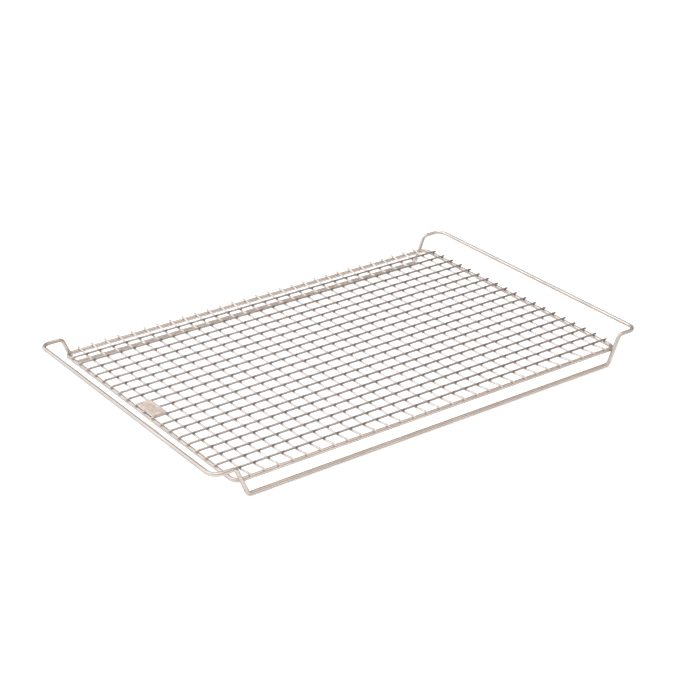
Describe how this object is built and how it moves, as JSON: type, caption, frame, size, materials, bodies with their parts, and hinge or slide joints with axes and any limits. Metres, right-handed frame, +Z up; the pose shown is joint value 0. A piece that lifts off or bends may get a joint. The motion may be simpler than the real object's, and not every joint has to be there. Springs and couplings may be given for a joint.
{
  "type": "cooling rack",
  "caption": "Rectangular welded wire cooling rack with a square mesh, a raised handle at each end and two foot rails, made of round wire.",
  "frame": {"origin": "middle of the footprint, on the plane the rack stands on", "axes": "+X along the long side, from the end with the tag plate to the other handle; +Y along the handles, so that the frame is right-handed; +Z up"},
  "size_m": [0.4264, 0.2638, 0.0282],
  "materials": {
    "heavy_wire": "smooth champagne metallic coating",
    "mesh_wire": "smooth champagne metallic coating",
    "tag": "smooth champagne metallic coating over a pressed plate"
  },
  "bodies": {
    "root": {"perimeter_frame": "heavy_wire", "handle_and_foot_loop": "heavy_wire", "tag_plate": "tag", "lengthwise_wire_01": "mesh_wire", "lengthwise_wire_02": "mesh_wire", "lengthwise_wire_03": "mesh_wire", "lengthwise_wire_04": "mesh_wire", "lengthwise_wire_05": "mesh_wire", "lengthwise_wire_06": "mesh_wire", "lengthwise_wire_07": "mesh_wire", "lengthwise_wire_08": "mesh_wire", "lengthwise_wire_09": "mesh_wire", "lengthwise_wire_10": "mesh_wire", "lengthwise_wire_11": "mesh_wire", "lengthwise_wire_12": "mesh_wire", "lengthwise_wire_13": "mesh_wire", "lengthwise_wire_14": "mesh_wire", "lengthwise_wire_15": "mesh_wire", "lengthwise_wire_16": "mesh_wire", "lengthwise_wire_17": "mesh_wire", "lengthwise_wire_18": "mesh_wire", "lengthwise_wire_19": "mesh_wire", "cross_wire_01": "mesh_wire", "cross_wire_02": "mesh_wire", "cross_wire_03": "mesh_wire", "cross_wire_04": "mesh_wire", "cross_wire_05": "mesh_wire", "cross_wire_06": "mesh_wire", "cross_wire_07": "mesh_wire", "cross_wire_08": "mesh_wire", "cross_wire_09": "mesh_wire", "cross_wire_10": "mesh_wire", "cross_wire_11": "mesh_wire", "cross_wire_12": "mesh_wire", "cross_wire_13": "mesh_wire", "cross_wire_14": "mesh_wire", "cross_wire_15": "mesh_wire", "cross_wire_16": "mesh_wire", "cross_wire_17": "mesh_wire", "cross_wire_18": "mesh_wire", "cross_wire_19": "mesh_wire", "cross_wire_20": "mesh_wire", "cross_wire_21": "mesh_wire", "cross_wire_22": "mesh_wire", "cross_wire_23": "mesh_wire", "cross_wire_24": "mesh_wire", "cross_wire_25": "mesh_wire", "cross_wire_26": "mesh_wire", "cross_wire_27": "mesh_wire", "cross_wire_28": "mesh_wire", "cross_wire_29": "mesh_wire"}
  },
  "joints": []
}
